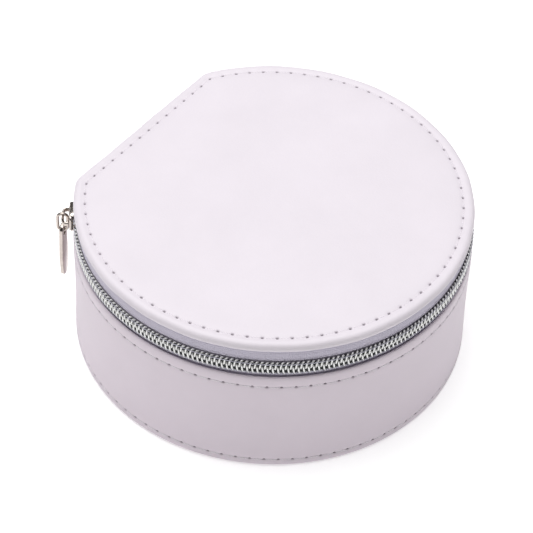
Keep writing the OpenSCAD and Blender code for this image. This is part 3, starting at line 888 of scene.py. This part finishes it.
# %% [markdown]
# ## Slabs with rounded edges
#
# The plates of the slider and the partitions are flat shapes of some thickness with softened
# edges. One function makes them: it takes the outline as points with normals, and draws it
# in a little at the top and bottom. The draw must stay under the outline's corner radius,
# or the rows would cross at the corners.

# %% A rounded slab
def superellipse(half_a, half_b, power, steps):
    """Outline |a/half_a|^power + |b/half_b|^power = 1, anticlockwise, with its normals."""
    t = 2 * math.pi * (np.arange(steps) + 0.5) / steps
    a, b = half_a * raised(np.cos(t), 2 / power), half_b * raised(np.sin(t), 2 / power)
    n = [raised(a / half_a, power - 1) / half_a, raised(b / half_b, power - 1) / half_b]
    return np.stack([a, b], -1), unit(np.stack(n, -1))


def rounded_rectangle(half_a, half_b, corner, steps=9):
    """Outline of a rectangle with round corners: each corner's centre + corner * direction."""
    t = np.linspace(0, math.pi / 2, steps) + np.arange(4)[:, None] * math.pi / 2
    n = heading(t)
    centre = np.array([[1, 1], [-1, 1], [-1, -1], [1, -1]]) * [half_a - corner, half_b - corner]
    return (centre[:, None] + corner * n).reshape(-1, 2), n.reshape(-1, 2)


def slab_points(curve, normals, low, high, soft, steps=5):
    """Rows of the outline from bottom face to top face: each is curve - normal * inset."""
    q = np.linspace(0, math.pi / 2, steps)
    inset = soft * np.concatenate([1 - np.sin(q), 1 - np.cos(q)])
    height = np.concatenate([low + soft * (1 - np.cos(q)), high - soft * (1 - np.sin(q))])
    inset = np.concatenate([[soft + 0.4 * soft], inset, [soft + 0.4 * soft]])
    height = np.concatenate([[low], height, [high]])
    ab = curve[:, None] - normals[:, None] * inset[:, None]
    return np.concatenate([ab, np.broadcast_to(height, ab.shape[:2])[..., None]], -1)


def join(name, *pieces):
    """Joins several pieces into one named object."""
    chosen = {"active_object": pieces[0], "selected_editable_objects": list(pieces)}
    with bpy.context.temp_override(**chosen):
        bpy.ops.object.join()
    pieces[0].name = pieces[0].data.name = name
    return pieces[0]


print("slab helper ready")


# %% [markdown]
# ## The slider
#
# The slider is a small zinc casting: an outer plate with two rims turned in over the chain, an
# inner plate behind the tape, a neck between them, and an arch that holds the pull. The plates
# bend with the round wall. They are slabs whose flat shape is wrapped round the axis.

# %% Make the slider
SLIDER_LOW, SLIDER_HIGH = low_high("slider_body")
JOINT_AT = {j["name"]: j["pos_m"] for j in frame["record"]["behaviour"]["joints"]}
SLIDER_TURN = math.atan2(JOINT_AT["pull_ring_swing"][1], JOINT_AT["pull_ring_swing"][0])
SLIDER_W = SLIDER_HIGH[2] - SLIDER_LOW[2]
SLIDER_L = 7 * MM
PLATE_T = 0.8 * MM
PLATE_OUT = TAPE_R + 2.3 * MM
INNER_OUT = TAPE_R - TAPE_T - 0.25 * MM


def wrap(points):
    """Bends (along, across, radius) round the axis: turn = rest + along / plate's radius."""
    turn = SLIDER_TURN + points[..., 0] / PLATE_OUT
    r = points[..., 2]
    return np.stack([r * np.cos(turn), r * np.sin(turn), CHAIN_Z + points[..., 1]], -1)


def plate_piece(name, half_a, half_b, power, low, high, soft, shift=(0, 0), nose=0.0):
    """A rounded plate on the slider. nose narrows its end that points along the chain."""
    curve, normals = superellipse(half_a, half_b, power, 72)
    curve[:, 1] *= 1 - nose * (curve[:, 0] / half_a + 1) / 2
    points = slab_points(curve + shift, normals, low, high, soft)
    return grid_piece(name, wrap(points))


half_l, half_w = SLIDER_L / 2, SLIDER_W / 2
rim_in = TAPE_R + 0.25 * MM
parts = [
    plate_piece("outer", half_l, half_w, 5, PLATE_OUT - PLATE_T, PLATE_OUT, 0.3 * MM, nose=0.22),
    plate_piece("inner", half_l, half_w, 5, INNER_OUT - PLATE_T, INNER_OUT, 0.2 * MM, nose=0.22),
    plate_piece("neck", 1.2 * MM, 0.35 * MM, 3, INNER_OUT - PLATE_T / 2,
                PLATE_OUT - PLATE_T / 2, 0.1 * MM, shift=(-2.4 * MM, 0)),
]
for side in (-1, 1):
    shift = (-0.2 * MM, side * (half_w - PLATE_T / 2 - 0.12 * MM))
    parts.append(plate_piece("rim", half_l - 0.7 * MM, PLATE_T / 2, 4, rim_in,
                             PLATE_OUT - 0.3 * MM, 0.2 * MM, shift))
slider = join("slider_casting", *parts)
fit(slider, "slider", "nickel", "slider_body")
print("slider:", len(slider.data.polygons), "faces")


# %% [markdown]
# ## The arch, the ring and the tab
#
# The arch is a bar that rises from one end of the slider's plate and comes down at the other.
# An oval wire ring hangs on it, and a tongue-shaped tab hangs on the ring by its eye. All
# three are tubes or slabs along simple curves. The tab's eye is a real hole, so its faces run
# from the outer edge over the face into the hole and back, like the skin of a ring.

# %% Make the arch
CROWN_RISE = 1.8 * MM
CROWN_HALF = 2.85 * MM
WIRE = 0.45 * MM


def crown_points():
    """A flat bar: along = -half * c, out = rise * s, with squarer cosine c and sine s."""
    t = np.linspace(0, math.pi, 41)
    along = -CROWN_HALF * raised(np.cos(t), 0.45)
    out = CROWN_RISE * np.abs(np.sin(t)) ** 0.45
    flat = np.stack([along, 0 * t, PLATE_OUT - 0.2 * MM + out * (1 + 0.2 / 1.8)], -1)
    step = unit(np.gradient(flat, axis=0))
    side = np.zeros_like(flat) + [0, 1, 0]
    outward = np.cross(step, side)
    wide = 0.62 * MM + 0.2 * MM * np.abs(along / CROWN_HALF) ** 3
    return wrap(tube_points(flat, -outward, -side, np.full(41, 0.42 * MM), wide, 14))


crown = grid_piece("slider_arch", crown_points(), False, True)
fit(crown, "slider", "nickel", "slider_crown")

# %% Make the ring
RING_LOW, RING_HIGH = low_high("pull_ring")
RING_ARC = 1.35 * MM
RING_MID_R = PLATE_OUT + 0.1 * MM + WIRE + RING_ARC
outward = np.array([math.cos(SLIDER_TURN), math.sin(SLIDER_TURN), 0])
tangent = np.array([-outward[1], outward[0], 0])
RING_MID = outward * RING_MID_R + [0, 0, (RING_LOW[2] + RING_HIGH[2]) / 2]
RING_STRAIGHT = (RING_HIGH[2] - RING_LOW[2]) / 2 - WIRE - RING_ARC


def ring_points():
    """An oval that stands out from the wall: a circle whose two halves are moved apart."""
    t = 2 * math.pi * (np.arange(72) + 0.5) / 72
    away = outward * np.cos(t)[:, None] + np.array([0, 0, 1.0]) * np.sin(t)[:, None]
    path = RING_MID + RING_ARC * away
    path[:, 2] += RING_STRAIGHT * np.sign(np.sin(t))
    side = np.zeros_like(away) + tangent
    return tube_points(path, away, side, np.full(72, WIRE), np.full(72, WIRE), 14)


ring = grid_piece("pull_ring_wire", ring_points(), True, True)
fit(ring, "pull_ring", "nickel", "pull_ring")

# %% Make the tab
TAB_FOOT = low_high("pull_tab")[0][2]
TAB_T = 1.2 * MM
TAB_TURN = math.radians(14)
EYE_R, HOLE_R, BELLY_R, TIP_R = 1.95 * MM, 1.2 * MM, 2.5 * MM, 1.8 * MM
TAB_PIVOT_Z = RING_LOW[2] + WIRE


def tab_outline(steps):
    """The tight outline round three discs: in each direction, the furthest disc's point."""
    t = 2 * math.pi * (np.arange(steps) + 0.5) / steps
    d = heading(t)
    drop = TAB_PIVOT_Z - TAB_FOOT
    middles = np.array([[0, 0.2 * MM], [0, -0.55 * drop], [0, TIP_R - drop]])
    radii = np.array([EYE_R, BELLY_R, TIP_R])
    reach = d @ middles.T + radii
    best = reach.argmax(1)
    return middles[best] + radii[best][:, None] * d, d


def tab_points(steps=120, soft=0.34 * MM):
    """A closed skin: up the outer edge, over one face into the eye and back underneath."""
    curve, normals = tab_outline(steps)
    curve = np.concatenate([curve, curve[:1]])
    gaps = np.linalg.norm(np.diff(curve, axis=0), axis=1)
    at = np.concatenate([[0], np.cumsum(gaps)])
    even = np.linspace(0, at[-1], steps, endpoint=False)
    curve = np.stack([np.interp(even, at, curve[:, k]) for k in (0, 1)], -1)
    normals = np.roll(curve, -1, 0) - np.roll(curve, 1, 0)
    normals = unit(np.stack([normals[:, 1], -normals[:, 0]], -1))
    eye = np.array([0, -0.3 * MM])
    inward = unit(curve - eye)
    q = np.linspace(0, math.pi / 2, 6)
    half = TAB_T / 2
    outer_in = soft * np.concatenate([1 - np.sin(q), 1 - np.cos(q)])
    outer_h = np.concatenate([-half + soft * (1 - np.cos(q)), half - soft * (1 - np.sin(q))])
    small, back = 0.2 * MM, q[::-1]
    hole_out = small * np.concatenate([1 - np.cos(back), 1 - np.sin(back)])
    hole_h = np.concatenate([
        half - small * (1 - np.sin(back)), -half + small * (1 - np.cos(back)),
    ])
    outer = curve[:, None] - normals[:, None] * outer_in[:, None]
    inner = eye + inward[:, None] * (HOLE_R + hole_out)[:, None]
    xy = np.concatenate([outer, inner], 1)
    z = np.broadcast_to(np.concatenate([outer_h, hole_h]), xy.shape[:2])
    local = np.concatenate([xy, z[..., None]], -1)
    across = tangent * math.cos(TAB_TURN) + outward * math.sin(TAB_TURN)
    facing = np.cross(across, [0, 0, 1.0])
    middle = outward * RING_MID_R + [0, 0, TAB_PIVOT_Z]
    upright = local[..., 1:2] * [0, 0, 1.0]
    return middle + local[..., :1] * across + upright + local[..., 2:] * facing


tab = grid_piece("pull_tab_plate", tab_points(), True, True)
fit(tab, "pull_tab", "nickel", "pull_tab")
print("pull: ring", len(ring.data.polygons), "faces, tab", len(tab.data.polygons), "faces")


# %% [markdown]
# ## The hinge strip
#
# Along the flat back one strip of the same leather joins lid and body, and it is the hinge. It
# is one piece that reaches from the body below to the lid above, with rows close together where
# the lid turns. It bulges slightly, as leather does when it is glued a little slack so that the
# lid can open.

# %% Make the hinge strip
HINGE_FOOT = low_high("hinge_lower_leaf")[0][2]


def hinge_points():
    """The strip: radius = tape's face + slack * (1 - share^2)^2, from wall to rim."""
    back = legs_of(TAPE_R)[:2].sum()
    s = np.linspace(-back, back, 110) % legs_of(TAPE_R).sum()
    skeleton, normal = walk(s, TAPE_R)
    z = np.concatenate([
        np.linspace(HINGE_FOOT, CHAIN_Z - 2.4 * MM, 7)[:-1],
        np.linspace(CHAIN_Z - 2.4 * MM, CHAIN_Z + 2.4 * MM, 25),
        np.linspace(CHAIN_Z + 2.4 * MM, RIM_FOOT + 0.25 * MM, 5)[1:],
    ])
    share = np.clip(np.abs(z - CHAIN_Z) / (3.4 * MM), 0, 1)
    front = TAPE_R + 0.18 * MM * (1 - share**2) ** 2
    radius = np.concatenate([front, (front - TAPE_T)[::-1]])
    height = np.concatenate([z, z[::-1]])
    return place(skeleton[:, None], normal[:, None], radius, height)


hinge = grid_piece("hinge_strip", hinge_points(), False, True)
fit(hinge, None, "leather", "hinge_lower_leaf", "hinge_upper_leaf")
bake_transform(hinge)
print("hinge strip:", len(hinge.data.polygons), "faces")


# %% [markdown]
# ## Inside: covered boards and ring rolls
#
# The partitions are boards wrapped in velvet, so their edges are round. The ring rolls are
# foam wrapped in velvet and pushed together, fat in the middle and drawn in at their ends.

# %% Make the partitions
def board_piece(name, node):
    """A covered board in its node's box: a rounded slab, with the box's side as outline."""
    low, high = low_high(node)
    size, middle = high - low, (high + low) / 2
    thin = 0 if size[0] < size[1] else 1
    long = 1 - thin
    curve, normals = rounded_rectangle(size[long] / 2, size[2] / 2, 1.5 * MM)
    soft = min(0.9 * MM, size[thin] * 0.45)
    points = slab_points(curve, normals, -size[thin] / 2, size[thin] / 2, soft, 6)
    place_at = np.empty_like(points)
    place_at[..., long] = middle[long] + points[..., 0]
    place_at[..., thin] = middle[thin] + points[..., 2] * (1 if thin == 0 else -1)
    place_at[..., 2] = middle[2] + points[..., 1]
    return fit(grid_piece(name, place_at), "base", "lining", node)


BOARDS = ["partition_left", "partition_right", "partition_cross", "divider_left", "divider_right"]
for node in BOARDS:
    board_piece(node + "_covered", node)

# %% Make the ring rolls
def roll_piece(name, node):
    """A roll along X: radius = r * (1 - 0.03 (x / half)^2), with ends drawn in and round."""
    low, high = low_high(node)
    r = (high[2] - low[2]) / 2
    half = (high[0] - low[0]) / 2
    middle = (low + high) / 2
    share = np.linspace(-1, 1, 41)
    soft = 1.8 * MM
    q = np.linspace(0, math.pi / 2, 8)
    tip = soft * (1 - np.cos(q))
    draw = soft * (1 - np.sin(q))
    x = np.concatenate([tip - half, share[1:-1] * (half - soft), half - tip[::-1]])
    body = r * (1.0 - 0.03 * (x / half) ** 2)
    end = np.concatenate([draw, np.zeros(39), draw[::-1]])
    t = 2 * math.pi * np.arange(72) / 72
    seam = 1 - 0.05 * np.exp(-(((t - 1.5 * math.pi) / 0.12) ** 2))
    radius = (body - end)[:, None] * seam
    crease = 1 - 0.012 * np.cos(5 * t) * (np.abs(x[:, None]) / half) ** 6
    points = np.stack([
        np.broadcast_to(x[:, None], radius.shape),
        radius * crease * np.cos(t), radius * crease * np.sin(t),
    ], -1) + middle
    piece = grid_piece(name, points, False, True)
    fit(piece, "base", "lining", node)
    return piece


for number in range(1, 5):
    roll_piece("ring_roll_velvet_%d" % number, "ring_roll_%d" % number)
print("inside pieces: 5 boards, 4 rolls")


# %% [markdown]
# ## The mirror
#
# A round glass mirror is set in the lid's lining. Its edge is ground to a narrow bevel, which
# catches the light as the lid opens.

# %% Make the mirror
BEVEL, GLASS_T = 1.2, 1.4  # in millimetres


def mirror_points():
    """A disc facing down: flat middle, a 1.2 mm bevel, then the edge, about the mirror's axis."""
    low, high = low_high("lid_mirror")
    r, middle = (high[0] - low[0]) / 2, (low + high) / 2
    t = 2 * math.pi * np.arange(144) / 144
    inset = np.array([1.5, BEVEL, 0.1, 0, 0, 0.1]) * MM
    radius = np.concatenate([[0.5 * r], r - inset, [0.6 * r]])
    height = low[2] + np.array([0, 0, 0, 0.4, 0.5, GLASS_T - 0.1, GLASS_T, GLASS_T]) * MM
    xy = middle[:2] + heading(t)[:, None] * radius[:, None]
    return np.concatenate([xy, np.broadcast_to(height, xy.shape[:2])[..., None]], -1)


fit(grid_piece("mirror_disc", mirror_points()), "lid", "mirror", "lid_mirror")
print("mirror made")


# %% [markdown]
# ## Floor, light and camera
#
# The box stands on a plain white table in soft light: a large panel overhead, a weaker one at
# each side and a pale surround. The camera looks down from the left of the front with a long
# lens, so that the far side is hardly smaller than the near side.

# %% Floor
def make_floor():
    """A wide sheet just under the box, with a faint unevenness of tone."""
    reach = 3.0
    mesh = bpy.data.meshes.new("table")
    corners = [(x * reach, y * reach, 0) for x, y in ((-1, -1), (1, -1), (1, 1), (-1, 1))]
    mesh.from_pydata(corners, [], [(0, 1, 2, 3)])
    floor = add_object("table", mesh)
    glow = {"Emission_Color": (1, 1, 1, 1), "Emission_Strength": 0.42}
    f = Finish("white_table", Specular_IOR_Level=0.1, **glow)
    drift = f.noise(200 * MM)
    tone = f.colour(drift, (0.80, 0.80, 0.80), (0.82, 0.82, 0.82))
    f.feed(Base_Color=tone, Roughness=0.75 + drift * 0.1)
    mesh.materials.append(f.material)


make_floor()


# %% Lights
def panel(name, at, size, watts):
    """A square light panel that faces the box."""
    light = bpy.data.lights.new(name, "AREA")
    light.shape, light.size, light.energy = "SQUARE", size, watts
    holder = add_object(name, light)
    aim = Vector((0, 0, 0.02)) - Vector(at)
    facing = aim.to_track_quat("-Z", "Y").to_matrix().to_4x4()
    holder.matrix_world = Matrix.Translation(at) @ facing


panel("top_panel", (0.05, 0.2, 1.3), 1.3, 22.4)
panel("left_panel", (-1.0, 0.5, 0.7), 0.8, 1.2)
panel("right_panel", (0.5, -1.0, 0.6), 0.7, 0.9)
world = bpy.data.worlds.new("surround")
world.use_nodes = True
background = world.node_tree.nodes["Background"].inputs
background["Color"].default_value = (1, 1, 1, 1)
background["Strength"].default_value = 0.06
bpy.context.scene.world = world
bpy.context.scene.view_settings.view_transform = "Standard"


# %% Camera
CAMERA_TURN, CAMERA_TILT, CAMERA_ROLL = np.radians([-54.04, 45.935, 2.25]).tolist()
CAMERA_DISTANCE = 0.764
LOOK_AT = Vector((-3.3, -0.6, 24.2)) * MM
FOCAL = 185.7


def make_camera():
    """Back points from the aim to the camera; right and up are turned about it by the roll."""
    a, e, roll = CAMERA_TURN, CAMERA_TILT, CAMERA_ROLL
    back = Vector((math.sin(a) * math.cos(e), -math.cos(a) * math.cos(e), math.sin(e)))
    right = Vector((math.cos(a), math.sin(a), 0))
    up = back.cross(right)
    turned = math.cos(roll) * right + math.sin(roll) * up
    upright = math.cos(roll) * up - math.sin(roll) * right
    data = bpy.data.cameras.new("camera")
    data.sensor_width, data.lens, data.clip_start = 36, FOCAL, 0.01
    camera = add_object("camera", data)
    matrix = Matrix((turned, upright, back)).transposed().to_4x4()
    matrix.translation = LOOK_AT + back * CAMERA_DISTANCE
    camera.matrix_world = matrix
    bpy.context.scene.camera = camera


make_camera()
